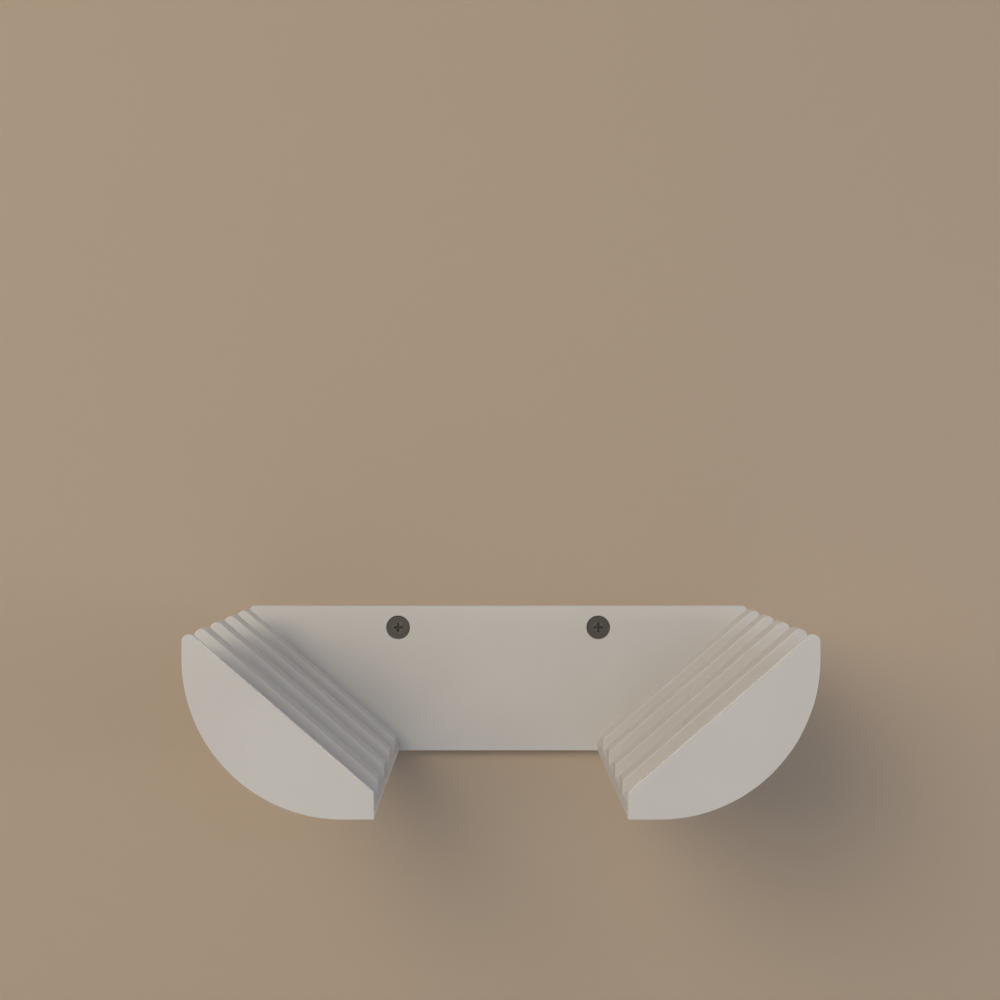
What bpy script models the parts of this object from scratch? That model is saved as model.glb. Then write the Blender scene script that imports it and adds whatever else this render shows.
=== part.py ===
"""Wall racket holder with five slots.

Two arms reach out from a flat back plate with an open gap between them. Each arm is a stack: saddles, whose
hollowed tops are the floors of the slots, with a divider between each two of them and a thin plain front plate
at the end. Two long screws from behind the back plate clamp each stack against nuts that sit in pockets of the
last saddle, under the front plate. Two dark countersunk screws through the back plate hold the whole up.

Sizes are in metres. X runs along the back plate, Y runs back through it and Z is up. The origin is at the
middle of the back plate's rear face. Saddles and dividers are numbered outwards from the back plate.
"""

import math

import bmesh
import bpy
from mathutils import Vector

MM = 0.001

# Overall sizes, seen from the front
OVERALL_WIDTH = 210.0 * MM
ARM_HEIGHT = 61.0 * MM
ARM_GAP = 83.7 * MM

# The stack along Y
SLOT_COUNT = 5
SLOT_WIDTH = 17.5 * MM
DIVIDER_THICKNESS = 10.0 * MM
FRONT_PLATE_THICKNESS = 2.0 * MM
BACK_PLATE_THICKNESS = 5.0 * MM
SEAM = 0.3 * MM  # air between two pieces that touch

# An arm's outline: a level toe beside the gap, a round belly, a short upright side and a pointed tip
TOE_HEIGHT = 9.15 * MM
TOE_FLAT = 10.15 * MM
TOE_RADIUS = 1.5 * MM
TIP_SIDE = 8.0 * MM
TIP_RADIUS = 2.4 * MM
PLATE_EDGE = 0.5 * MM

# The hollow of a saddle, measured square to the straight top edge of the dividers
SEAT_DEPTH_ENDS = 4.0 * MM
SEAT_DEPTH_MIDDLE = 7.5 * MM
SEAT_TIP_RADIUS = 1.0 * MM
SADDLE_EDGE = 0.25 * MM

# Tie screws and their nuts
TIE_DIAMETER = 5.0 * MM
TIE_HEAD_DIAMETER = 10.0 * MM
TIE_SOCKET_WIDTH = 3.0 * MM
TIE_SOCKET_DEPTH = 2.0 * MM
TIE_DEPTH_IN_BELLY = 8.0 * MM  # from the belly's surface to a screw's axis
TIE_SPREAD = math.radians(50.0)  # between an arm's two screws, seen from the middle of the belly's arc
TIE_END_COVER = 2.2 * MM  # from a screw's end to the front plate
TIE_END_CHAMFER = 0.6 * MM
TIE_THREAD_SHOWING = 0.5 * MM
NUT_WIDTH = 8.0 * MM
NUT_HEIGHT = 4.0 * MM

# Wall screws
WALL_SCREW_SPACING = 84.4 * MM
WALL_SCREW_DROP = 9.1 * MM  # below the back plate's top edge
WALL_SCREW_LENGTH = 40.0 * MM
WALL_SCREW_DIAMETER = 5.0 * MM
WALL_SCREW_HEAD_DIAMETER = 9.5 * MM
WALL_SCREW_POINT = 7.0 * MM
WALL_SCREW_POINT_RADIUS = 0.4 * MM
WALL_SCREW_SINK = 0.2 * MM
CROSS_WIDTH = 5.0 * MM
CROSS_ARM_ROOT = 1.3 * MM
CROSS_ARM_END = 0.9 * MM
CROSS_DEPTH = 1.8 * MM

HEAD_EDGE = 0.3 * MM  # the upright rim of a countersunk head
CUT_PAST = 1.0 * MM  # how far a cutter runs past the face that it opens

# Steps along the curved stretches
BELLY_STEPS = 18
SEAT_STEPS = 16
CORNER_STEP = math.radians(20.0)
ROUND_STEPS = 24
LEVEL = math.radians(0.1)  # faces that meet at less than this are one flat face

# What follows from the sizes above
SIDES = {"left": -1, "right": 1}
TIES = {"lower": -TIE_SPREAD / 2, "upper": TIE_SPREAD / 2}
ARM_WIDTH = (OVERALL_WIDTH - ARM_GAP) / 2
TOP = ARM_HEIGHT / 2
BOTTOM = -ARM_HEIGHT / 2
SLOT_PITCH = SLOT_WIDTH + DIVIDER_THICKNESS
STACK_DEPTH = SLOT_COUNT * SLOT_PITCH - DIVIDER_THICKNESS
NUT_FRONT = STACK_DEPTH - TIE_END_COVER - TIE_THREAD_SHOWING
TIE_LENGTH = BACK_PLATE_THICKNESS - SEAM + STACK_DEPTH - TIE_END_COVER
WALL_SCREW_HEIGHT = TOP - WALL_SCREW_DROP

# Outlines are drawn in (u, z): u runs outwards from the arm's face at the gap, and z is up
UNDERSIDE = Vector((0.0, BOTTOM))
TOE = Vector((0.0, BOTTOM + TOE_HEIGHT))
BELLY_RADII = Vector((ARM_WIDTH - TOE_FLAT, ARM_HEIGHT - TIP_SIDE))
BELLY_CENTRE = Vector((TOE_FLAT, BOTTOM + BELLY_RADII.y))


def tip_corner():
    """Where the straight top edge would meet the upright side if the tip were sharp."""
    to_tip_arc = Vector((ARM_WIDTH - TIP_RADIUS, TOP - TIP_RADIUS)) - TOE
    slope = math.atan2(to_tip_arc.y, to_tip_arc.x) + math.asin(TIP_RADIUS / to_tip_arc.length)
    return Vector((ARM_WIDTH, TOE.y + ARM_WIDTH * math.tan(slope)))


TIP = tip_corner()


def around_belly(angle, depth=0.0):
    """The point at this angle from straight down, and this far inside the belly."""
    radii = BELLY_RADII - Vector((depth, depth))
    return BELLY_CENTRE + Vector((math.sin(angle), -math.cos(angle))) * radii


def belly():
    """From the toe's underside round to the upright side."""
    return [around_belly(math.pi / 2 * step / BELLY_STEPS) for step in range(BELLY_STEPS + 1)]


def rounded(before, corner, after, radius):
    """The arc that rounds off a corner between its two neighbours."""
    back = (before - corner).normalized()
    onward = (after - corner).normalized()
    half = back.angle(onward) / 2
    centre = corner + (back + onward).normalized() * radius / math.sin(half)
    reach = radius / math.tan(half)
    first = corner + back * reach - centre
    last = corner + onward * reach - centre
    steps = math.ceil((math.pi - 2 * half) / CORNER_STEP)
    return [centre + radius * first.slerp(last, step / steps) for step in range(steps + 1)]


def plate_outline():
    """The outline that the dividers and the front plate share."""
    curve = belly()
    return [
        UNDERSIDE,
        *curve,
        *rounded(curve[-1], TIP, TOE, TIP_RADIUS),
        *rounded(TIP, TOE, UNDERSIDE, TOE_RADIUS),
    ]


def seat():
    """A saddle's top from the upright side to the toe: one arc, deepest at its middle."""
    edge = TIP - TOE
    square = Vector((-edge.y, edge.x)).normalized()
    sag = SEAT_DEPTH_MIDDLE - SEAT_DEPTH_ENDS
    radius = (edge.length_squared / 4 + sag**2) / (2 * sag)
    centre = TOE + edge / 2 + square * (radius - SEAT_DEPTH_MIDDLE)
    points = []
    for step in range(SEAT_STEPS + 1):
        u = ARM_WIDTH * (1 - step / SEAT_STEPS)
        points.append(Vector((u, centre.y - math.sqrt(radius**2 - (u - centre.x) ** 2))))
    return points


def saddle_outline():
    """A plate's outline with the hollowed seat in place of its straight top edge."""
    curve = belly()
    top = seat()
    return [
        UNDERSIDE,
        *curve,
        *rounded(curve[-1], top[0], top[1], SEAT_TIP_RADIUS),
        *top[1:-1],
        *rounded(top[-2], top[-1], UNDERSIDE, TOE_RADIUS),
    ]


def back_plate_outline():
    """Both arms' bellies, joined by a level top and underside."""
    curve = belly()
    corner = rounded(curve[-1], Vector((ARM_WIDTH, TOP)), Vector((0.0, TOP)), TIP_RADIUS)
    right = [point + Vector((ARM_GAP / 2, 0.0)) for point in curve + corner]
    return right + [Vector((-point.x, point.y)) for point in reversed(right)]


def hexagon(width, tilt=0.0):
    """Six corners, this wide across the flats, with one flat's normal at the tilt."""
    radius = width / 2 / math.cos(math.pi / 6)
    angles = [tilt + math.pi / 6 + math.pi / 3 * side for side in range(6)]
    return [Vector((radius * math.cos(angle), radius * math.sin(angle))) for angle in angles]


def cross():
    """A plus sign for a screwdriver, whose arms narrow outwards."""
    reach = CROSS_WIDTH / 2
    end = CROSS_ARM_END / 2
    root = CROSS_ARM_ROOT / 2
    points = []
    for quarter in range(4):
        for x, y in ((reach, -end), (reach, end), (root, root)):
            for _ in range(quarter):
                x, y = -y, x
            points.append(Vector((x, y)))
    return points


def clear_scene():
    for obj in list(bpy.data.objects):
        bpy.data.objects.remove(obj)


def new_collection(name):
    collection = bpy.data.collections.new(name)
    bpy.context.scene.collection.children.link(collection)
    return collection


def new_material(name, colour, roughness, metallic=0.0):
    made = bpy.data.materials.new(name)
    made.use_nodes = True
    shader = made.node_tree.nodes["Principled BSDF"]
    shader.inputs["Base Color"].default_value = (*colour, 1.0)
    shader.inputs["Roughness"].default_value = roughness
    shader.inputs["Metallic"].default_value = metallic
    return made


clear_scene()
PARTS = new_collection("racket_holder")
CUTTERS = new_collection("cutters")
WHITE_PLASTIC = new_material("white_plastic", (0.56, 0.53, 0.49), 0.52)
BLACK_STEEL = new_material("black_steel", (0.025, 0.024, 0.023), 0.45, 0.6)
ZINC_STEEL = new_material("zinc_steel", (0.62, 0.63, 0.64), 0.32, 1.0)


def add(name, data, parent, location, surface=None):
    """Places a piece or, where it has no surface, a solid that only cuts or joins others."""
    obj = bpy.data.objects.new(name, data)
    obj.parent = parent
    obj.location = location
    if surface:
        data.materials.append(surface)
        PARTS.objects.link(obj)
    else:
        obj.hide_render = True
        obj.display_type = "WIRE"
        CUTTERS.objects.link(obj)
    return obj


def add_empty(name, parent, location):
    empty = bpy.data.objects.new(name, None)
    empty.parent = parent
    empty.location = location
    PARTS.objects.link(empty)
    return empty


def add_turned(name, profile, faces, parent, location, surface=None):
    """A turned piece whose top faces back, at 1, or forwards, at -1.

    Its profile is (radius, height) from axis to axis, down the outer side.
    """
    mesh = bpy.data.meshes.new(name)
    points = [(radius, 0.0, height) for radius, height in profile]
    mesh.from_pydata(points, [(index, index + 1) for index in range(len(points) - 1)], [])
    obj = add(name, mesh, parent, location, surface)
    obj.rotation_euler.x = -faces * math.pi / 2
    screw = obj.modifiers.new("turn", "SCREW")
    screw.steps = ROUND_STEPS
    screw.render_steps = ROUND_STEPS
    screw.use_merge_vertices = True
    screw.merge_threshold = 0.001 * MM
    return obj


def flat_mesh(name, outline, thickness):
    """A plate that faces along Y, drawn about the middle of its thickness."""
    curve = bpy.data.curves.new(name, "CURVE")
    curve.dimensions = "2D"
    curve.fill_mode = "BOTH"
    curve.extrude = thickness / 2
    spline = curve.splines.new("POLY")
    spline.points.add(len(outline) - 1)
    for point, (u, z) in zip(spline.points, outline):
        point.co = (u, z, 0.0, 1.0)
    spline.use_cyclic_u = True
    drawn = bpy.data.objects.new(name, curve)
    drawn.rotation_euler.x = math.pi / 2
    CUTTERS.objects.link(drawn)
    bpy.context.view_layer.update()
    mesh = bpy.data.meshes.new_from_object(drawn.evaluated_get(bpy.context.evaluated_depsgraph_get()))
    shape = bmesh.new()
    shape.from_mesh(mesh)
    bmesh.ops.remove_doubles(shape, verts=shape.verts, dist=0.001 * MM)
    bmesh.ops.dissolve_limit(shape, angle_limit=LEVEL, verts=shape.verts, edges=shape.edges)
    bmesh.ops.recalc_face_normals(shape, faces=shape.faces)
    shape.transform(drawn.matrix_world)
    shape.to_mesh(mesh)
    shape.free()
    bpy.data.objects.remove(drawn)
    bpy.data.curves.remove(curve)
    mesh.shade_smooth()
    mesh.set_sharp_from_angle(angle=math.radians(30.0))
    return mesh


def mirrored(outline, side):
    return [Vector((side * point.x, point.y)) for point in outline]


def screw_profile(head_diameter, diameter, length, point, end_radius):
    """A countersunk screw, its flat head up at height 0."""
    head = head_diameter / 2
    shank = diameter / 2
    return [
        (0.0, 0.0),
        (head, 0.0),
        (head, -HEAD_EDGE),
        (shank, shank - head - HEAD_EDGE),
        (shank, point - length),
        (end_radius, -length),
        (0.0, -length),
    ]


def hole_profile(head_diameter, diameter, depth):
    """The hole for such a screw, a seam wider all round."""
    head = head_diameter / 2 + SEAM
    shank = diameter / 2 + SEAM
    return [
        (0.0, CUT_PAST),
        (head, CUT_PAST),
        (head, -HEAD_EDGE),
        (shank, shank - head - HEAD_EDGE),
        (shank, -depth),
        (0.0, -depth),
    ]


def soften(layer, width):
    bevel = layer.modifiers.new("edge", "BEVEL")
    bevel.width = width
    bevel.segments = 1
    bevel.limit_method = "ANGLE"
    bevel.angle_limit = math.radians(40.0)


def combine(obj, other, operation="DIFFERENCE"):
    boolean = obj.modifiers.new(other.name, "BOOLEAN")
    boolean.operation = operation
    boolean.object = other


def add_back_plate(base):
    mesh = flat_mesh("back_plate", back_plate_outline(), BACK_PLATE_THICKNESS)
    plate = add("back_plate", mesh, base, (0.0, BACK_PLATE_THICKNESS / 2, 0.0), WHITE_PLASTIC)
    soften(plate, PLATE_EDGE)
    return plate


def add_wall_screw(side_name, side, plate, base):
    """A dark countersunk screw, sunk just under the back plate's front face, and its hole."""
    head = (side * WALL_SCREW_SPACING / 2, WALL_SCREW_SINK, WALL_SCREW_HEIGHT)
    profile = hole_profile(WALL_SCREW_HEAD_DIAMETER, WALL_SCREW_DIAMETER, WALL_SCREW_LENGTH)
    combine(plate, add_turned(f"{side_name}_wall_hole", profile, -1, base, head))
    profile = screw_profile(
        WALL_SCREW_HEAD_DIAMETER,
        WALL_SCREW_DIAMETER,
        WALL_SCREW_LENGTH,
        WALL_SCREW_POINT,
        WALL_SCREW_POINT_RADIUS,
    )
    screw = add_turned(f"{side_name}_wall_screw", profile, -1, base, head, BLACK_STEEL)
    name = f"{side_name}_cross"
    combine(screw, add(name, flat_mesh(name, cross(), 2 * CROSS_DEPTH), base, head))


def add_layer(name, outline, near, far, side, arm, surface=WHITE_PLASTIC, axis=(0.0, 0.0)):
    """A flat layer of an arm's stack, from one distance out from the back plate to another."""
    mesh = flat_mesh(name, mirrored(outline, side), far - near)
    return add(name, mesh, arm, (side * axis[0], -(near + far) / 2, axis[1]), surface)


def add_stack(side_name, side, arm):
    """Saddles and dividers in turn, outwards from the back plate."""
    stack = []
    for number in range(1, SLOT_COUNT + 1):
        near = (number - 1) * SLOT_PITCH
        far = near + SLOT_WIDTH
        name = f"{side_name}_saddle_{number}"
        saddle = add_layer(name, saddle_outline(), near + SEAM, far - SEAM, side, arm)
        soften(saddle, SADDLE_EDGE)
        stack.append(saddle)
        if number < SLOT_COUNT:
            name = f"{side_name}_divider_{number}"
            divider = add_layer(name, plate_outline(), far, near + SLOT_PITCH, side, arm)
            soften(divider, PLATE_EDGE)
            stack.append(divider)
    return stack


def add_front_plate(side_name, side, arm):
    far = STACK_DEPTH + FRONT_PLATE_THICKNESS
    front = add_layer(f"{side_name}_front_plate", plate_outline(), STACK_DEPTH, far, side, arm)
    soften(front, PLATE_EDGE)
    return front


def add_tie_screw(label, side, axis, arm):
    """A tie screw from the back plate's rear face, and the bore that it runs in."""
    head = (side * axis.x, BACK_PLATE_THICKNESS - SEAM, axis.y)
    profile = screw_profile(
        TIE_HEAD_DIAMETER,
        TIE_DIAMETER,
        TIE_LENGTH,
        TIE_END_CHAMFER,
        TIE_DIAMETER / 2 - TIE_END_CHAMFER,
    )
    screw = add_turned(f"{label}_tie_screw", profile, 1, arm, head, ZINC_STEEL)
    name = f"{label}_socket"
    socket = flat_mesh(name, hexagon(TIE_SOCKET_WIDTH), 2 * TIE_SOCKET_DEPTH)
    combine(screw, add(name, socket, arm, head))
    profile = hole_profile(TIE_HEAD_DIAMETER, TIE_DIAMETER, BACK_PLATE_THICKNESS + STACK_DEPTH)
    return add_turned(f"{label}_bore", profile, 1, arm, head)


def add_tie_nut(label, side, axis, tilt, arm, last_saddle):
    """A nut on the screw's end, one flat along the seat, and its pocket in the last saddle."""
    near = NUT_FRONT - NUT_HEIGHT
    outline = hexagon(NUT_WIDTH, tilt)
    nut = add_layer(f"{label}_tie_nut", outline, near, NUT_FRONT, side, arm, ZINC_STEEL, axis)
    outline = hexagon(NUT_WIDTH + 2 * SEAM, tilt)
    far = STACK_DEPTH + CUT_PAST
    pocket = add_layer(f"{label}_pocket", outline, near - SEAM, far, side, arm, None, axis)
    combine(last_saddle, pocket)
    return nut


def add_plug(label, side, axis, arm, front):
    """A round stub behind the front plate that presses into a nut's pocket."""
    near = STACK_DEPTH - TIE_END_COVER + SEAM
    far = STACK_DEPTH + FRONT_PLATE_THICKNESS / 2
    mesh = bpy.data.meshes.new(f"{label}_plug")
    shape = bmesh.new()
    bmesh.ops.create_cone(
        shape,
        cap_ends=True,
        segments=ROUND_STEPS,
        radius1=NUT_WIDTH / 2,
        radius2=NUT_WIDTH / 2,
        depth=far - near,
    )
    shape.to_mesh(mesh)
    shape.free()
    plug = add(mesh.name, mesh, arm, (side * axis.x, -(near + far) / 2, axis.y))
    plug.rotation_euler.x = math.pi / 2
    combine(front, plug, "UNION")


def add_arm(side_name, side, plate, base):
    """One stack, the front plate that closes it and the screws and nuts that clamp it."""
    arm = add_empty(f"{side_name}_arm", base, (side * ARM_GAP / 2, 0.0, 0.0))
    stack = add_stack(side_name, side, arm)
    front = add_front_plate(side_name, side, arm)
    edge = TIP - TOE
    thickest = math.atan2(edge.y, edge.x)
    for tie_name, turn in TIES.items():
        label = f"{side_name}_{tie_name}"
        axis = around_belly(thickest + turn, TIE_DEPTH_IN_BELLY)
        bore = add_tie_screw(label, side, axis, arm)
        nut = add_tie_nut(label, side, axis, thickest - math.pi / 2, arm, stack[-1])
        add_plug(label, side, axis, arm, front)
        for piece in [plate, *stack, nut]:
            combine(piece, bore)


def build():
    base = add_empty("holder", None, (0.0, -BACK_PLATE_THICKNESS, 0.0))
    plate = add_back_plate(base)
    for side_name, side in SIDES.items():
        add_wall_screw(side_name, side, plate, base)
        add_arm(side_name, side, plate, base)


build()
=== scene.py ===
import math
import bpy
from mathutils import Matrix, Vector


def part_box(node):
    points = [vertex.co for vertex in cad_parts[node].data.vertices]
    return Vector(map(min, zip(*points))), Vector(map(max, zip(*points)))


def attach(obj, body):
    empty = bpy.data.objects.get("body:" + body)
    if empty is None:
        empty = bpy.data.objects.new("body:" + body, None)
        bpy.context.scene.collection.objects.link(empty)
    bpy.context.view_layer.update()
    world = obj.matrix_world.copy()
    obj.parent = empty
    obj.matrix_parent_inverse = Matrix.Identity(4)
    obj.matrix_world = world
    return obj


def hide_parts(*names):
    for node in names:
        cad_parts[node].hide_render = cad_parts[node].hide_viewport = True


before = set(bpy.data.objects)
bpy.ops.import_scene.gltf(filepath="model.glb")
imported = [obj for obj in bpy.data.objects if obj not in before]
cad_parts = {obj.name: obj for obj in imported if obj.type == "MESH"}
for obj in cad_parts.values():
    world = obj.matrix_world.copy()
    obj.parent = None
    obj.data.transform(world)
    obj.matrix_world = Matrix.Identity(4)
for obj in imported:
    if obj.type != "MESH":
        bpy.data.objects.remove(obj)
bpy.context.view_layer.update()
mm = 0.001
hitch = 0.01 * mm  # points nearer than this are one point
cutPast = 1.0 * mm  # how far a cutter runs past the face that it opens
sharpFrom = math.radians(40)  # edges that turn by more than this are rounded
smoothUpTo = math.radians(35)  # faces that meet at less than this are shaded as one
crownLean = (0.05, 0.98)  # how far a normal leans along y on a rounded edge
turnedSteps = 64
hexagon = 6
made = {}  # each node's finished piece
print("racket holder: frame loaded")


# Handling objects, as by hand
def pickNone():
    if bpy.context.object and bpy.context.mode != "OBJECT":
        bpy.ops.object.mode_set(mode="OBJECT")
    bpy.ops.object.select_all(action="DESELECT")


def pick(piece):
    pickNone()
    piece.select_set(True)
    bpy.context.view_layer.objects.active = piece


def settle(piece, name):
    # the place goes into the mesh, and the object to the origin
    pick(piece)
    bpy.ops.object.transform_apply(location=True, rotation=True, scale=True)
    piece.name = name
    piece.data.name = name
    return piece


def edit(piece, action="SELECT", mode="VERT"):
    pick(piece)
    bpy.ops.object.mode_set(mode="EDIT")
    bpy.ops.mesh.select_mode(type=mode)
    bpy.ops.mesh.select_all(action=action)


def heal(piece):
    edit(piece)
    bpy.ops.mesh.remove_doubles(threshold=hitch)
    bpy.ops.mesh.normals_make_consistent(inside=False)
    bpy.ops.object.mode_set(mode="OBJECT")


def combine(piece, other, operation):
    pick(piece)
    bpy.ops.object.modifier_add(type="BOOLEAN")
    piece.modifiers[-1].operation = operation
    piece.modifiers[-1].object = other
    bpy.ops.object.modifier_apply(modifier=piece.modifiers[-1].name)
    bpy.data.objects.remove(other)


def copyTo(piece, name, shift):
    pick(piece)
    bpy.ops.object.duplicate()
    bpy.ops.transform.translate(value=shift)
    return settle(bpy.context.object, name)


def mirrorTo(piece, name):
    pick(piece)
    bpy.ops.object.duplicate()
    bpy.ops.transform.resize(value=(-1, 1, 1), center_override=(0, 0, 0))
    twin = settle(bpy.context.object, name)
    heal(twin)
    return twin


def startPoint(name, at):
    # a single point to draw from
    pickNone()
    bpy.ops.mesh.primitive_plane_add(size=mm, location=at)
    piece = settle(bpy.context.object, name)
    edit(piece)
    bpy.ops.mesh.merge(type="CENTER")
    return piece


def pull(step):
    bpy.ops.mesh.extrude_vertices_move(TRANSFORM_OT_translate={"value": step})


def roundEdges(piece, width, segments):
    # rounds every sharp edge, and marks the crown of each round for the finish
    edit(piece, "DESELECT", "EDGE")
    bpy.ops.mesh.edges_select_sharp(sharpness=sharpFrom)
    bpy.ops.mesh.bevel(offset=width, segments=segments, affect="EDGES")
    bpy.ops.object.mode_set(mode="OBJECT")
    flat = set()
    for face in piece.data.polygons:
        if not crownLean[0] < abs(face.normal.y) < crownLean[1]:
            flat.update(face.vertices)
    crown = piece.data.attributes.new("crown", "FLOAT", "POINT")
    for vertex in piece.data.vertices:
        crown.data[vertex.index].value = float(vertex.index not in flat)


class Pencil:
    # draws an upright outline in x and z, one line or arc after another
    def __init__(self, name, at, y):
        self.piece = startPoint(name, (at.x, y, at.y))
        self.at = at
        self.y = y

    def line(self, to):
        pull((to.x - self.at.x, 0, to.y - self.at.y))
        self.at = to

    def arc(self, centre, to, steps):
        start = self.at - centre
        end = to - centre
        turn = math.atan2(start.x * end.y - start.y * end.x, start.dot(end))
        middle = (centre.x, self.y, centre.y)
        bpy.ops.mesh.spin(steps=steps, angle=turn, center=middle, axis=(0, 1, 0))
        self.at = to

    def thicken(self, depth):
        # fills the outline and gives it its depth along y
        bpy.ops.mesh.select_all(action="SELECT")
        bpy.ops.mesh.remove_doubles(threshold=hitch)
        bpy.ops.mesh.edge_face_add()
        bpy.ops.mesh.extrude_region_move(TRANSFORM_OT_translate={"value": (0, depth, 0)})
        bpy.ops.object.mode_set(mode="OBJECT")
        heal(self.piece)
        return self.piece


def turned(name, axis, y, inward, profile):
    # a turned piece, whose profile is (radius, depth) from the axis out and back to it
    piece = startPoint(name, (axis.x + profile[0][0], y + inward * profile[0][1], axis.y))
    for (radius, depth), (nextRadius, nextDepth) in zip(profile, profile[1:]):
        pull((nextRadius - radius, inward * (nextDepth - depth), 0))
    bpy.ops.mesh.select_all(action="SELECT")
    middle = (axis.x, y, axis.y)
    bpy.ops.mesh.spin(steps=turnedSteps, angle=2 * math.pi, center=middle, axis=(0, 1, 0))
    bpy.ops.object.mode_set(mode="OBJECT")
    heal(piece)
    return piece


def prism(name, sides, width, axis, near, far, tilt=0.0):
    # a prism along y, this wide across the flats, with one flat's normal at the tilt
    pickNone()
    bpy.ops.mesh.primitive_cylinder_add(
        vertices=sides,
        radius=width / 2 / math.cos(math.pi / sides),
        depth=far - near,
        location=(axis.x, (near + far) / 2, axis.y),
        rotation=(math.pi / 2, -tilt, 0),
    )
    return settle(bpy.context.object, name)


def spanOf(node):
    low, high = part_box(node)
    return low.y, high.y


def axisOf(node):
    low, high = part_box(node)
    return Vector((low.x + high.x, low.z + high.z)) / 2


# The outline that an arm's layers share, and the hollow tops of the saddles between them
layer = {
    "count": 4,
    "toeHeight": 9.15 * mm,
    "toeFlat": 10.15 * mm,
    "toeRadius": 1.5 * mm,
    "tipSide": 8.0 * mm,
    "tipRadius": 2.4 * mm,
    "edge": 0.28 * mm,
    "edgeSegments": 4,
    "bellySteps": 72,
    "cornerSteps": 12,
    "squeeze": 0.0,
}
seat = {
    "count": 5,
    "depthAtEnds": 4.0 * mm,
    "depthAtMiddle": 7.5 * mm,
    "tipRadius": 1.0 * mm,
    "edge": 0.2 * mm,
    "edgeSegments": 2,
    "steps": 48,
    "squeeze": 0.28 * mm,  # how much of the frame's seams the clamped saddles fill
}

armLow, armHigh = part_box("right_front_plate")
start = Vector((armLow.x, armLow.z))
bellyStart = start + Vector((layer["toeFlat"], 0))
bellyEnd = Vector((armHigh.x, armHigh.z - layer["tipSide"]))
bellyCentre = Vector((bellyStart.x, bellyEnd.y))
toe = start + Vector((0, layer["toeHeight"]))
toTip = Vector((armHigh.x, armHigh.z)) - Vector((1, 1)) * layer["tipRadius"] - toe
slope = math.atan2(toTip.y, toTip.x) + math.asin(layer["tipRadius"] / toTip.length)
tip = Vector((armHigh.x, toe.y + (armHigh.x - toe.x) * math.tan(slope)))
flatTilt = slope - math.pi / 2  # turns a nut's flat to the slots' edge


def drawCorner(pencil, corner, after, radius):
    # a line to the corner, rounded off towards the next point
    back = (pencil.at - corner).normalized()
    onward = (after - corner).normalized()
    half = back.angle(onward) / 2
    reach = radius / math.tan(half)
    pencil.line(corner + back * reach)
    centre = corner + (back + onward).normalized() * radius / math.sin(half)
    pencil.arc(centre, corner + onward * reach, layer["cornerSteps"])


def drawBelly(name, y):
    pencil = Pencil(name, start, y)
    pencil.line(bellyStart)
    pencil.arc(bellyCentre, bellyEnd, layer["bellySteps"])
    return pencil


def drawPlate(name, near, far):
    # a divider or a front plate, straight along the top
    pencil = drawBelly(name, near)
    drawCorner(pencil, tip, toe, layer["tipRadius"])
    drawCorner(pencil, toe, start, layer["toeRadius"])
    piece = pencil.thicken(far - near)
    roundEdges(piece, layer["edge"], layer["edgeSegments"])
    return piece


topEdge = tip - toe
square = Vector((-topEdge.y, topEdge.x)).normalized()
sag = seat["depthAtMiddle"] - seat["depthAtEnds"]
hollow = (topEdge.length_squared / 4 + sag**2) / (2 * sag)
hollowCentre = toe + topEdge / 2 + square * (hollow - seat["depthAtMiddle"])


def underHollow(x, radius):
    # the centre of the round between an upright side and the hollow
    drop = math.sqrt((hollow + radius) ** 2 - (x - hollowCentre.x) ** 2)
    return Vector((x, hollowCentre.y - drop))


def onHollow(centre):
    # where a round with this centre meets the hollow
    return hollowCentre + (centre - hollowCentre).normalized() * hollow


def drawSaddle(name, near, far):
    # a spacer, whose top is the hollow floor of a slot
    outer = underHollow(armHigh.x - seat["tipRadius"], seat["tipRadius"])
    inner = underHollow(armLow.x + layer["toeRadius"], layer["toeRadius"])
    pencil = drawBelly(name, near)
    pencil.line(Vector((armHigh.x, outer.y)))
    pencil.arc(outer, onHollow(outer), layer["cornerSteps"])
    pencil.arc(hollowCentre, onHollow(inner), seat["steps"])
    pencil.arc(inner, Vector((armLow.x, inner.y)), layer["cornerSteps"])
    piece = pencil.thicken(far - near)
    roundEdges(piece, seat["edge"], seat["edgeSegments"])
    return piece


# Tie screws clamp a stack against nuts in pockets of its last saddle, and a stub on the front
# plate fills each pocket
tie = {
    "shankRadius": 2.5 * mm,
    "coreRadius": 2.05 * mm,
    "threadRadius": 2.5 * mm,
    "headRadius": 5.0 * mm,
    "headRim": 0.3 * mm,
    "headRound": 0.12 * mm,
    "threaded": 22.0 * mm,
    "pitch": 0.8 * mm,
    "runOut": 0.5 * mm,  # how far shank and ridge overlap, either way from the plain part's end
    "fullFrom": 0.3 * mm,  # where the ridge has its full height, past that end
    "endLength": 0.6 * mm,
    "endRadius": 1.9 * mm,
    "steps": 32,
    "spareTurns": 3,  # of the ridge, which its cutting takes off again
    "socketWidth": 3.0 * mm,
    "socketDepth": 2.0 * mm,
    "play": 0.3 * mm,
}
nut = {
    "width": 8.0 * mm,
    "chamferIn": 0.1 * mm,  # how far inside its flats the chamfer starts
    "chamferPast": 0.1 * mm,  # and how far past its corners the cutter runs
    "chamferAngle": math.radians(30),
    "threadPlay": 0.02 * mm,
    "lead": 0.1 * mm,
}
stub = {"sides": 48, "sunk": 1.0 * mm, "edge": 0.2 * mm, "edgeSegments": 2}
ties = ("lower", "upper")
lastSaddle = f"right_saddle_{seat['count']}"


def boreLayer(piece, near, far):
    radius = tie["shankRadius"] + tie["play"]
    depth = far - near + 2 * cutPast
    profile = [(0, 0), (radius, 0), (radius, depth), (0, depth)]
    for which in ties:
        axis = axisOf(f"right_{which}_tie_screw")
        combine(piece, turned("bore", axis, near - cutPast, 1, profile), "DIFFERENCE")


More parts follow.
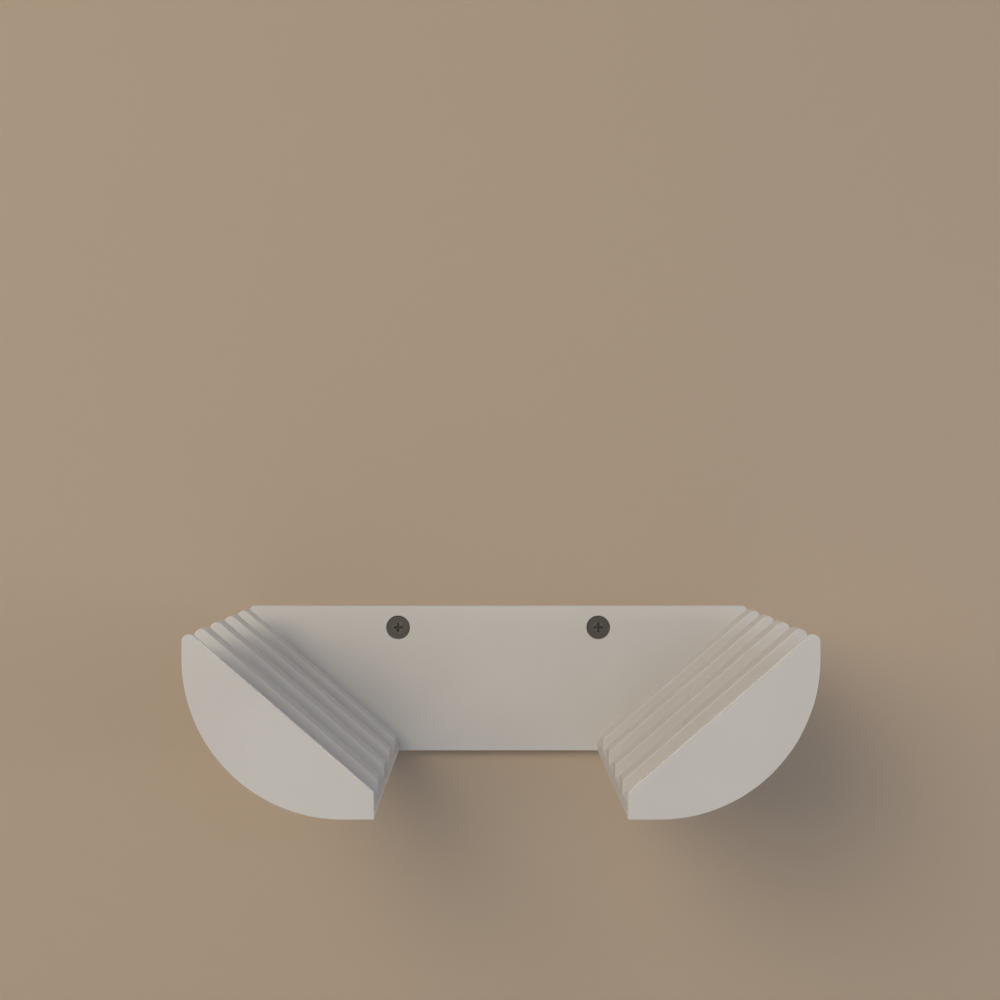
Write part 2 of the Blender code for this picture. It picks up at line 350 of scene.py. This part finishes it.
def makeLayers():
    # dividers and saddles of the right arm: the first is drawn, and the others are its copies
    for kind, draw, size in (("divider", drawPlate, layer), ("saddle", drawSaddle, seat)):
        near, far = spanOf(f"right_{kind}_1")
        name = f"right{kind.capitalize()}"
        first = draw(f"{name}1", near - size["squeeze"], far + size["squeeze"])
        boreLayer(first, near, far)
        made[f"right_{kind}_1"] = first
        for number in range(2, size["count"] + 1):
            node = f"right_{kind}_{number}"
            made[node] = copyTo(first, f"{name}{number}", (0, spanOf(node)[0] - near, 0))
    far = spanOf("right_lower_tie_nut")[1] + tie["play"]
    front = spanOf(lastSaddle)[0] - cutPast
    width = nut["width"] + 2 * tie["play"]
    for which in ties:
        axis = axisOf(f"right_{which}_tie_nut")
        pocket = prism("pocket", hexagon, width, axis, front, far, flatTilt)
        combine(made[lastSaddle], pocket, "DIFFERENCE")


def makeFrontPlate():
    # thin and plain, with its two stubs behind
    near, rear = spanOf("right_front_plate")
    far = spanOf(lastSaddle)[0] - tie["play"]
    piece = drawPlate("rightFrontPlate", near, far)
    for which in ties:
        axis = axisOf(f"right_{which}_tie_nut")
        post = prism("stub", stub["sides"], nut["width"], axis, far - stub["sunk"], rear)
        roundEdges(post, stub["edge"], stub["edgeSegments"])
        combine(piece, post, "UNION")
    made["right_front_plate"] = piece


def mirrorArm():
    for node, piece in list(made.items()):
        name = piece.name.replace("right", "left")
        made[node.replace("right", "left")] = mirrorTo(piece, name)


makeLayers()
makeFrontPlate()
mirrorArm()
print("racket holder: both arms stacked")

# The wall screws, and the back plate that they hold
wallScrew = {
    "shankRadius": 1.9 * mm,
    "coreRadius": 1.55 * mm,
    "threadRadius": 2.5 * mm,
    "headRadius": 4.75 * mm,
    "headRim": 0.3 * mm,
    "headRound": 0.12 * mm,
    "plain": 14.0 * mm,
    "pitch": 2.2 * mm,
    "runOut": 1.0 * mm,
    "fullFrom": 1.0 * mm,
    "endLength": 7.0 * mm,
    "endRadius": 0.4 * mm,
    "steps": 40,
    "spareTurns": 2,
    "crossWidth": 4.9 * mm,
    "crossArm": 1.05 * mm,
    "crossDepth": 1.8 * mm,
    "crossTaper": 0.55,
    "play": 0.3 * mm,
    "holeRadius": 2.8 * mm,
}
holeReach = 10.0 * mm  # how deep the cutters of the back plate's holes go
thread = {
    "root": 0.5,  # the ridge's outline, in parts of the pitch
    "rise": 0.2,
    "crest": 0.08,
    "fall": 0.22,
    "sunk": 0.1 * mm,  # how far inside the ridge's core the shank ends
    "clear": 1.01,  # the cutter's radius, as a share of the crest's
}


def turnShank(name, size, axis, y, inward, plain):
    # a countersunk head and the plain part of its shank, which runs out inside the ridge
    end = plain + size["runOut"]
    profile = [
        (0, 0),
        (size["headRadius"] - size["headRound"], 0),
        (size["headRadius"], size["headRound"]),
        (size["headRadius"], size["headRim"]),
        (size["shankRadius"], size["headRim"] + size["headRadius"] - size["shankRadius"]),
        (size["shankRadius"], plain),
        (size["coreRadius"] - thread["sunk"], end),
        (0, end),
    ]
    return turned(name, axis, y, inward, profile)


def sweepRidge(size, axis, y, inward, length):
    # one turn's ridge, swept as a screw and closed at both ends
    piece = startPoint("ridge", (axis.x + size["coreRadius"], y, axis.y))
    height = size["threadRadius"] - size["coreRadius"]
    for part, out in (("root", 0), ("rise", height), ("crest", 0), ("fall", -height)):
        pull((out, -inward * thread[part] * size["pitch"], 0))
    bpy.ops.mesh.select_all(action="SELECT")
    turns = math.ceil(length / size["pitch"])
    middle = (axis.x, y, axis.y)
    bpy.ops.mesh.screw(steps=size["steps"], turns=turns, center=middle, axis=(0, inward, 0))
    bpy.ops.mesh.select_all(action="SELECT")
    bpy.ops.mesh.remove_doubles(threshold=hitch)
    bpy.ops.mesh.select_all(action="DESELECT")
    bpy.ops.mesh.select_mode(type="EDGE")
    bpy.ops.mesh.select_non_manifold()
    bpy.ops.mesh.edge_face_add()
    bpy.ops.object.mode_set(mode="OBJECT")
    heal(piece)
    return piece


def addThread(piece, size, axis, y, inward, plain, length):
    # the swept ridge, cut to the screw's outline, on the shank
    core = size["coreRadius"] - thread["sunk"]
    outside = size["threadRadius"] * thread["clear"]
    sweep = length - plain + size["spareTurns"] * size["pitch"]
    ridge = sweepRidge(size, axis, y + inward * (plain - size["pitch"]), inward, sweep)
    profile = [
        (0, plain - size["runOut"]),
        (core, plain - size["runOut"]),
        (outside, plain + size["fullFrom"]),
        (outside, length - size["endLength"]),
        (size["endRadius"], length),
        (0, length),
    ]
    combine(ridge, turned("envelope", axis, y, inward, profile), "INTERSECT")
    combine(piece, ridge, "UNION")


def cutCross(piece, axis, y):
    # the driver's recess: two crossed wings that narrow inwards
    for turn in (0, math.pi / 2):
        pickNone()
        at = (axis.x, y, axis.y)
        bpy.ops.mesh.primitive_cube_add(size=1, location=at, rotation=(0, turn, 0))
        wing = bpy.context.object
        wing.scale = (wallScrew["crossWidth"], 2 * wallScrew["crossDepth"], wallScrew["crossArm"])
        settle(wing, "wing")
        edit(wing, "DESELECT", "FACE")
        bpy.ops.object.mode_set(mode="OBJECT")
        for face in wing.data.polygons:
            face.select = round(face.normal.y) == 1
        bpy.ops.object.mode_set(mode="EDIT")
        bpy.ops.transform.resize(value=(wallScrew["crossTaper"], 1, wallScrew["crossTaper"]))
        bpy.ops.object.mode_set(mode="OBJECT")
        combine(piece, wing, "DIFFERENCE")


def makeWallScrews():
    near, far = spanOf("right_wall_screw")
    axis = axisOf("right_wall_screw")
    plain = wallScrew["plain"]
    piece = turnShank("rightWallScrew", wallScrew, axis, near, 1, plain)
    cutCross(piece, axis, near)
    addThread(piece, wallScrew, axis, near, 1, plain, far - near)
    made["right_wall_screw"] = piece
    shift = axisOf("left_wall_screw") - axis
    made["left_wall_screw"] = copyTo(piece, "leftWallScrew", (shift.x, 0, shift.y))


def makeTieScrews():
    first = "right_lower_tie_screw"
    near, far = spanOf(first)
    axis = axisOf(first)
    plain = far - near - tie["threaded"]
    piece = turnShank("rightLowerTieScrew", tie, axis, far, -1, plain)
    addThread(piece, tie, axis, far, -1, plain, far - near)
    bottom = far - tie["socketDepth"]
    socket = prism("socket", hexagon, tie["socketWidth"], axis, bottom, far + cutPast)
    combine(piece, socket, "DIFFERENCE")
    made[first] = piece
    for side in ("left", "right"):
        for which in ties:
            node = f"{side}_{which}_tie_screw"
            if node != first:
                shift = axisOf(node) - axis
                name = f"{side}{which.capitalize()}TieScrew"
                made[node] = copyTo(piece, name, (shift.x, 0, shift.y))


def makeNuts():
    near, far = spanOf("right_lower_tie_nut")
    axis = axisOf("right_lower_tie_nut")
    height = far - near
    piece = prism("rightLowerTieNut", hexagon, nut["width"], axis, near, far, flatTilt)
    corner = nut["width"] / 2 / math.cos(math.pi / hexagon) + nut["chamferPast"]
    flat = nut["width"] / 2 - nut["chamferIn"]
    drop = (corner - flat) * math.tan(nut["chamferAngle"])
    barrel = [(0, 0), (flat, 0), (corner, drop)]
    barrel += [(corner, height - drop), (flat, height), (0, height)]
    combine(piece, turned("barrel", axis, near, 1, barrel), "INTERSECT")
    hole = tie["threadRadius"] + nut["threadPlay"]
    mouth = hole + cutPast
    past = height + cutPast
    bore = [(0, -cutPast), (mouth, -cutPast), (hole, nut["lead"])]
    bore += [(hole, height - nut["lead"]), (mouth, past), (0, past)]
    combine(piece, turned("bore", axis, near, 1, bore), "DIFFERENCE")
    made["right_lower_tie_nut"] = piece
    made["left_lower_tie_nut"] = mirrorTo(piece, "leftLowerTieNut")
    shift = axisOf("right_upper_tie_nut") - axis
    upper = copyTo(piece, "rightUpperTieNut", (shift.x, 0, shift.y))
    made["right_upper_tie_nut"] = upper
    made["left_upper_tie_nut"] = mirrorTo(upper, "leftUpperTieNut")


def screwHole(piece, axis, y, inward, size, radius):
    # a bore with a countersink for this screw's head
    head = size["headRadius"] + size["play"]
    rim = size["headRim"]
    profile = [(0, -cutPast), (head, -cutPast), (head, rim), (radius, rim + head - radius)]
    profile += [(radius, holeReach), (0, holeReach)]
    combine(piece, turned("hole", axis, y, inward, profile), "DIFFERENCE")


def mirrored(point):
    return Vector((-point.x, point.y))


def makeBackPlate():
    # both bellies joined by a level top and underside
    front, rear = spanOf("back_plate")
    pencil = Pencil("backPlate", mirrored(bellyStart), front)
    pencil.line(bellyStart)
    pencil.arc(bellyCentre, bellyEnd, layer["bellySteps"])
    right = Vector((armHigh.x, armHigh.z))
    drawCorner(pencil, right, mirrored(right), layer["tipRadius"])
    drawCorner(pencil, mirrored(right), mirrored(bellyEnd), layer["tipRadius"])
    pencil.line(mirrored(bellyEnd))
    pencil.arc(mirrored(bellyCentre), mirrored(bellyStart), layer["bellySteps"])
    piece = pencil.thicken(rear - front)
    roundEdges(piece, layer["edge"], layer["edgeSegments"])
    bore = tie["shankRadius"] + tie["play"]
    for side in ("left", "right"):
        node = f"{side}_wall_screw"
        screwHole(piece, axisOf(node), spanOf(node)[0], 1, wallScrew, wallScrew["holeRadius"])
        for which in ties:
            node = f"{side}_{which}_tie_screw"
            screwHole(piece, axisOf(node), spanOf(node)[1], -1, tie, bore)
    made["back_plate"] = piece


makeWallScrews()
makeTieScrews()
makeNuts()
makeBackPlate()
print("racket holder: plate, screws and nuts made")


class Wire:
    # a node's output, which can be reckoned with
    def __init__(self, nodes, socket):
        self.nodes = nodes
        self.socket = socket

    def __add__(self, other):
        return self.nodes.reckon("ADD", self, other)

    def __radd__(self, other):
        return self.nodes.reckon("ADD", other, self)

    def __sub__(self, other):
        return self.nodes.reckon("SUBTRACT", self, other)

    def __rsub__(self, other):
        return self.nodes.reckon("SUBTRACT", other, self)

    def __mul__(self, other):
        return self.nodes.reckon("MULTIPLY", self, other)

    def __rmul__(self, other):
        return self.nodes.reckon("MULTIPLY", other, self)

    def __abs__(self):
        return self.nodes.reckon("ABSOLUTE", self)


class Nodes:
    # a node tree of a material or of the world
    def __init__(self, tree):
        self.tree = tree

    def node(self, kind, settings, inputs, output=0):
        fresh = self.tree.nodes.new(kind)
        for key, value in settings.items():
            setattr(fresh, key, value)
        for key, value in inputs.items():
            self.feed(fresh.inputs[key], value)
        return Wire(self, fresh.outputs[output])

    def feed(self, socket, value):
        if isinstance(value, Wire):
            self.tree.links.new(value.socket, socket)
        else:
            socket.default_value = value

    def reckon(self, operation, first, second=0.0):
        return self.node("ShaderNodeMath", {"operation": operation}, {0: first, 1: second})

    def show(self, output, factor, first, second):
        # the tree shows one shader where the factor is 0 and the other where it is 1
        both = self.node("ShaderNodeMixShader", {}, {0: factor, 1: first, 2: second})
        self.feed(self.tree.nodes[output].inputs["Surface"], both)


class Finish(Nodes):
    # one material, on the pieces' own coordinates
    def __init__(self, name):
        self.material = bpy.data.materials.new(name)
        self.material.use_nodes = True
        super().__init__(self.material.node_tree)
        self.shader = self.tree.nodes["Principled BSDF"]
        self.place = self.node("ShaderNodeTexCoord", {}, {}, "Object")

    def set(self, **values):
        # sockets of the shader, by name with the spaces left out
        for socket in self.shader.inputs:
            key = socket.name.replace(" ", "")
            if key in values:
                self.feed(socket, values[key])

    def axes(self, vector=None):
        parts = self.node("ShaderNodeSeparateXYZ", {}, {0: vector or self.place})
        return [Wire(self, socket) for socket in parts.socket.node.outputs]

    def vector(self, x, y, z):
        return self.node("ShaderNodeCombineXYZ", {}, {0: x, 1: y, 2: z})

    def away(self, first, second):
        # the distance between two places
        settings = {"operation": "DISTANCE"}
        return self.node("ShaderNodeVectorMath", settings, {0: first, 1: second}, "Value")

    def noise(self, scale, detail=2.0, place=None):
        inputs = {"Vector": place or self.place, "Scale": scale, "Detail": detail}
        return self.node("ShaderNodeTexNoise", {}, inputs)

    def drawnOut(self, parts, scales):
        # noise with its own scale along each of these parts of a place
        place = self.vector(*(part * scale for part, scale in zip(parts, scales)))
        return self.noise(1.0, place=place)

    def ramp(self, value, low, high):
        # 0 at the low end and 1 at the high end, smooth between, and falling if low is above high
        settings = {"interpolation_type": "SMOOTHSTEP"}
        inputs = {"Value": value, "From Min": low, "From Max": high}
        return self.node("ShaderNodeMapRange", settings, inputs)

    def patches(self, scale, detail, low, high):
        return self.ramp(self.noise(scale, detail), low, high)

    def mix(self, factor, first, second):
        inputs = {0: factor, 6: first, 7: second}
        return self.node("ShaderNodeMix", {"data_type": "RGBA"}, inputs, 2)

    def bump(self, height, distance, strength):
        inputs = {"Height": height, "Distance": distance, "Strength": strength}
        return self.node("ShaderNodeBump", {}, inputs)


# White moulded plastic with a fine grain. Use has polished the rounded edges and the slots' lips,
# which are glossier there and lightened in colour as a painted highlight, and left faint marks
# along the middle of their floors; dust and painted shade darken the corners. Noises are a scale
# and a detail, patches add the ramp's two ends, and a grid has a scale for each of along, across
# and above the slots.
plastic = {
    "light": (0.576, 0.548, 0.513, 1),
    "dark": (0.546, 0.517, 0.482, 1),
    # the lighter colour of polished edges and lips is a painted highlight
    "polished": (0.645, 0.619, 0.587, 1),
    "marked": (0.32, 0.305, 0.285, 1),
    # colour of the corners' dust, which also serves as painted shade there
    "dusty": (0.39, 0.364, 0.325, 1),
    "clouds": (16.0, 3.0, 0.3, 0.7),
    "roughness": 0.52,
    "mottle": (150.0, 3.0),
    "mottleRoughness": 0.12,
    "grain": (1700.0, 2.0),
    "grainDepth": 0.03 * mm,
    "grainStrength": 0.5,
    "edgePatches": (90.0, 3.0, 0.30, 0.70),
    "edgePolish": 0.14,
    "edgeGloss": 0.07,
    "lipReach": 2.6 * mm,
    "lipGrid": (60.0, 90.0, 90.0),
    "lipEnds": (0.40, 0.65),
    "lipPolish": 0.20,
    "lipGloss": 0.10,
    "nickGrid": (160.0, 900.0, 900.0),
    "nickEnds": (0.66, 0.72),
    "floorTurn": (0.15, 0.5),
    "bedWidth": 6.0 * mm,
    "bedGrid": (35.0, 120.0, 0.0),
    "bedEnds": (0.35, 0.65),
    "bedStrength": 0.10,
    "bedGloss": 0.08,
    "scuffGrid": (70.0, 600.0, 0.0),
    "scuffEnds": (0.60, 0.70),
    "scuffPlaces": (0.48, 0.62),
    "markStrength": 0.30,
    "cornerWidth": 1.6 * mm,
    "dustPatches": (220.0, 3.0, 0.25, 0.75),
    "dustStrength": 0.35,
    "dustRoughness": 0.15,
}
blackSteel = {
    "base": (0.088, 0.086, 0.080, 1),
    "worn": (0.27, 0.262, 0.245, 1),
    "wornRadii": (3.0 * mm, 0.8 * mm),
    "wornPatches": (900.0, 4.0, 0.46, 0.66),
    "wornStrength": 0.7,
    "metallic": 0.7,
    "roughness": 0.40,
    "uneven": (500.0, 2.0),
    "unevenness": 0.15,
    "grain": (1400.0, 3.0),
    "ringPitch": 0.35 * mm,
    "ringHeight": 0.12,
    "bumpDepth": 0.02 * mm,
    "bumpStrength": 0.5,
}
zinc = {
    "base": (0.60, 0.61, 0.62, 1),
    "dull": (0.44, 0.45, 0.45, 1),
    "dullPatches": (220.0, 4.0, 0.35, 0.7),
    "metallic": 1.0,
    "roughness": 0.30,
    "uneven": (600.0, 3.0),
    "unevenness": 0.14,
    "grain": (1100.0, 3.0),
    "ringPitch": 0.30 * mm,
    "ringHeight": 0.25,
    "bumpDepth": 0.02 * mm,
    "bumpStrength": 0.5,
}
firstSlot = spanOf("right_saddle_1")
slotMiddle = (firstSlot[0] + firstSlot[1]) / 2
slotPitch = spanOf("right_saddle_2")[0] - firstSlot[0]


def plainPlastic(name):
    # the base that all the white pieces share: colour, roughness and grain
    finish = Finish(name)
    clouds = finish.patches(*plastic["clouds"])
    crown = finish.node("ShaderNodeAttribute", {"attribute_name": "crown"}, {}, "Fac")
    crown = crown * finish.patches(*plastic["edgePatches"])
    colour = finish.mix(clouds, plastic["dark"], plastic["light"])
    # painted highlight: the rounded edges are lightened in colour; their lower roughness below is
    # real polish
    colour = finish.mix(crown * plastic["edgePolish"], colour, plastic["polished"])
    mottle = (finish.noise(*plastic["mottle"]) - 0.5) * plastic["mottleRoughness"]
    roughness = plastic["roughness"] + mottle - crown * plastic["edgeGloss"]
    grain = finish.noise(*plastic["grain"])
    finish.set(Normal=finish.bump(grain, plastic["grainDepth"], plastic["grainStrength"]))
    return finish, colour, roughness


def platePlastic():
    # the back plate
    finish, colour, roughness = plainPlastic("platePlastic")
    finish.set(BaseColor=colour, Roughness=roughness)
    return finish.material


def alongSlot(finish):
    # how far a place lies along the slots and above the dividers' straight edge, in either arm
    x, y, z = finish.axes()
    along = abs(x) * math.cos(slope) + z * math.sin(slope)
    above = (z - toe.y) * math.cos(slope) - (abs(x) - toe.x) * math.sin(slope)
    return along, y, above


def layerPlastic():
    # dividers and front plates, polished (glossier, and lightened as a painted highlight) and
    # nicked along the slots' lips
    finish, colour, roughness = plainPlastic("layerPlastic")
    parts = alongSlot(finish)
    lip = finish.ramp(parts[2], -plastic["lipReach"], 0.0)
    lip = lip * finish.ramp(finish.drawnOut(parts, plastic["lipGrid"]), *plastic["lipEnds"])
    nicks = finish.ramp(finish.drawnOut(parts, plastic["nickGrid"]), *plastic["nickEnds"]) * lip
    # painted highlight: the lips are lightened in colour; their lower roughness is real polish
    colour = finish.mix(lip * plastic["lipPolish"], colour, plastic["polished"])
    finish.set(
        BaseColor=finish.mix(nicks * plastic["markStrength"], colour, plastic["marked"]),
        Roughness=roughness - lip * plastic["lipGloss"],
    )
    return finish.material


def saddlePlastic():
    # the slots' floors, marked along the middle, and darkened in the corners by dust and painted
    # shade
    finish, colour, roughness = plainPlastic("saddlePlastic")
    parts = alongSlot(finish)
    aside = finish.reckon("PINGPONG", parts[1] - slotMiddle, slotPitch / 2)
    normal = finish.node("ShaderNodeNewGeometry", {}, {}, "True Normal")
    floor = finish.ramp(finish.axes(normal)[2], *plastic["floorTurn"])
    bed = finish.ramp(aside, plastic["bedWidth"], 0.0) * floor
    scuffs = finish.drawnOut(parts, plastic["scuffGrid"])
    places = finish.drawnOut(parts, plastic["bedGrid"])
    marks = finish.ramp(scuffs, *plastic["scuffEnds"]) * bed
    marks = marks * finish.ramp(places, *plastic["scuffPlaces"])
    bed = bed * finish.ramp(places, *plastic["bedEnds"])
    side = (firstSlot[1] - firstSlot[0]) / 2
    # painted shade and dust: the floor darkens towards the corners beside the dividers, where
    # shade falls
    cornerDustAndShade = finish.ramp(aside, side - plastic["cornerWidth"], side) * floor
    cornerDustAndShade = cornerDustAndShade * finish.patches(*plastic["dustPatches"])
    colour = finish.mix(bed * plastic["bedStrength"], colour, plastic["marked"])
    colour = finish.mix(marks * plastic["markStrength"], colour, plastic["marked"])
    finish.set(
        BaseColor=finish.mix(cornerDustAndShade * plastic["dustStrength"], colour, plastic["dusty"]),
        Roughness=roughness - bed * plastic["bedGloss"] + cornerDustAndShade * plastic["dustRoughness"],
    )
    return finish.material


def turnedSteel(name, look, nodes):
    # steel with a fine grain and turned rings, and the distance to the nearest of these axes
    finish = Finish(name)
    x, y, z = finish.axes()
    here = finish.vector(abs(x), 0.0, z)
    radius = None
    for node in nodes:
        axis = axisOf(node)
        reach = finish.away(here, (abs(axis.x), 0.0, axis.y))
        radius = finish.reckon("MINIMUM", radius, reach) if radius else reach
    rings = finish.reckon("SINE", radius * (2 * math.pi / look["ringPitch"]))
    height = finish.noise(*look["grain"]) + rings * look["ringHeight"]
    finish.set(
        Metallic=look["metallic"],
        Roughness=look["roughness"] + finish.noise(*look["uneven"]) * look["unevenness"],
        Normal=finish.bump(height, look["bumpDepth"], look["bumpStrength"]),
    )
    return finish, radius


def blackScrewSteel():
    # blackened screws, worn to bare metal where the driver bites
    finish, radius = turnedSteel("blackScrewSteel", blackSteel, ["right_wall_screw"])
    wear = finish.ramp(radius, *blackSteel["wornRadii"])
    wear = wear * finish.patches(*blackSteel["wornPatches"]) * blackSteel["wornStrength"]
    finish.set(BaseColor=finish.mix(wear, blackSteel["base"], blackSteel["worn"]))
    return finish.material


def zincSteel():
    # plated tie screws and nuts
    nodes = [f"right_{which}_tie_screw" for which in ties]
    finish = turnedSteel("zincSteel", zinc, nodes)[0]
    dull = finish.patches(*zinc["dullPatches"])
    finish.set(BaseColor=finish.mix(dull, zinc["base"], zinc["dull"]))
    return finish.material


def finishPiece(node, piece, material):
    pick(piece)
    bpy.ops.object.shade_smooth_by_angle(angle=smoothUpTo)
    bpy.ops.object.modifier_add(type="WEIGHTED_NORMAL")
    piece.modifiers[-1].keep_sharp = True
    bpy.ops.object.modifier_apply(modifier=piece.modifiers[-1].name)
    piece.data.materials.clear()
    piece.data.materials.append(material)
    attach(piece, "root")
    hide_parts(node)


layerFinish = layerPlastic()
zincFinish = zincSteel()
finishes = {
    "back_plate": platePlastic(),
    "divider": layerFinish,
    "front_plate": layerFinish,
    "saddle": saddlePlastic(),
    "wall_screw": blackScrewSteel(),
    "tie_screw": zincFinish,
    "tie_nut": zincFinish,
}
for node, piece in made.items():
    kind = next(kind for kind in finishes if kind in node)
    finishPiece(node, piece, finishes[kind])
print("racket holder: surfaces finished")

# A plain tan backdrop just in front of the back plate's rear, a plain pale floor, soft light and
# the photograph's view
stage = {
    "backdrop": (0.428, 0.334, 0.243, 1),
    "backdropSize": 4.0,
    "backdropAt": -0.4 * mm,
    "floor": (0.62, 0.585, 0.53, 1),
    "floorSize": 12.0,
    "floorAt": -1100 * mm,
    "roughness": 0.9,
    "fadeFrom": 0.9,
    "fadeTo": 2.2,
    "sky": (0.54, 0.70, 1.0, 1),
    "skyStrength": 0.53,
    "distance": (0.66, 0.63, 0.585, 1),
    "distanceStrength": 1.0,
}
# the side lamps are narrow and level with the arms, so that they light little else than the
# outer sides
lamps = {
    "keyLamp": {
        "at": (-1.11, -1.96, 0.97),
        "size": 1.45,
        "spread": 180,
        "power": 36.8,
        "colour": (1.0, 0.855, 0.61),
    },
    "fillLamp": {
        "at": (0.9, -0.75, 0.15),
        "size": 0.8,
        "spread": 180,
        "power": 1.2,
        "colour": (0.80, 0.90, 1.0),
    },
    "rightLamp": {
        "at": (1.8, -0.16, 0.0),
        "size": 0.2,
        "spread": 24,
        "power": 0.3,
        "colour": (1.0, 0.94, 0.84),
    },
    "leftLamp": {
        "at": (-1.8, -0.16, 0.0),
        "size": 0.2,
        "spread": 24,
        "power": 0.12,
        "colour": (0.92, 0.96, 1.0),
    },
    "backLamp": {
        "at": (-0.3, 0.9, 0.5),
        "size": 0.8,
        "spread": 180,
        "power": 7.7,
        "colour": (1.0, 0.85, 0.60),
    },
}
lampAim = Vector((0, -0.08, 0))
shot = {
    "at": (-4.1 * mm, -591.5 * mm, 72.9 * mm),
    "lens": 50.08,
    "sensor": 36.0,
    "shiftX": 0.0115,
    "shiftY": 0.0053,
    "clipStart": 10 * mm,
}


def plainSheet(name, at, turn):
    pickNone()
    bpy.ops.mesh.primitive_plane_add(size=stage[f"{name}Size"], location=at, rotation=turn)
    sheet = settle(bpy.context.object, name)
    finish = Finish(name)
    finish.set(BaseColor=stage[name], Roughness=stage["roughness"])
    sheet.data.materials.append(finish.material)
    return finish, Wire(finish, finish.shader.outputs[0])


def makeStage():
    # far away the floor fades into the distance
    floor, lit = plainSheet("floor", (0, 0, stage["floorAt"]), (0, 0, 0))
    middle = floor.vector(0.0, 0.0, stage["floorAt"])
    far = floor.ramp(floor.away(floor.place, middle), stage["fadeFrom"], stage["fadeTo"])
    camera = floor.node("ShaderNodeLightPath", {}, {}, "Is Camera Ray")
    look = {"Color": stage["distance"], "Strength": stage["distanceStrength"]}
    plain = floor.node("ShaderNodeEmission", {}, look)
    floor.show("Material Output", far * camera, lit, plain)
    # seen from behind, the backdrop is clear
    upright = (math.pi / 2, 0, 0)
    backdrop, lit = plainSheet("backdrop", (0, stage["backdropAt"], 0), upright)
    behind = backdrop.node("ShaderNodeNewGeometry", {}, {}, "Backfacing")
    clear = backdrop.node("ShaderNodeBsdfTransparent", {}, {})
    backdrop.show("Material Output", behind, lit, clear)


def makeLamps():
    for name, lamp in lamps.items():
        bpy.ops.object.light_add(type="AREA", location=lamp["at"])
        light = bpy.context.object
        light.name = name
        light.data.size = lamp["size"]
        light.data.energy = lamp["power"]
        light.data.color = lamp["colour"]
        light.data.spread = math.radians(lamp["spread"])
        toAim = lampAim - Vector(lamp["at"])
        light.rotation_euler = toAim.to_track_quat("-Z", "Y").to_euler()
        light.visible_camera = False


def makeSky():
    # lights softly, and is plain and pale to the camera and in metal
    world = bpy.data.worlds.new("studio")
    world.use_nodes = True
    sky = Nodes(world.node_tree)
    background = sky.tree.nodes["Background"]
    sky.feed(background.inputs["Color"], stage["sky"])
    sky.feed(background.inputs["Strength"], stage["skyStrength"])
    look = {"Color": stage["distance"], "Strength": stage["distanceStrength"]}
    pale = sky.node("ShaderNodeBackground", {}, look)
    path = sky.node("ShaderNodeLightPath", {}, {}).socket.node.outputs
    seen = Wire(sky, path["Is Camera Ray"])
    for kind in ("Is Glossy Ray", "Is Transmission Ray"):
        seen = sky.reckon("MAXIMUM", seen, Wire(sky, path[kind]))
    sky.show("World Output", seen, Wire(sky, background.outputs[0]), pale)
    bpy.context.scene.world = world


def makeCamera():
    bpy.ops.object.camera_add(location=shot["at"], rotation=(math.pi / 2, 0, 0))
    camera = bpy.context.object
    camera.name = "camera"
    camera.data.lens = shot["lens"]
    camera.data.sensor_width = shot["sensor"]
    camera.data.shift_x = shot["shiftX"]
    camera.data.shift_y = shot["shiftY"]
    camera.data.clip_start = shot["clipStart"]
    bpy.context.scene.camera = camera


makeStage()
makeLamps()
makeSky()
makeCamera()
bpy.context.scene.view_settings.view_transform = "Standard"
print("racket holder: stage, lamps and camera set")
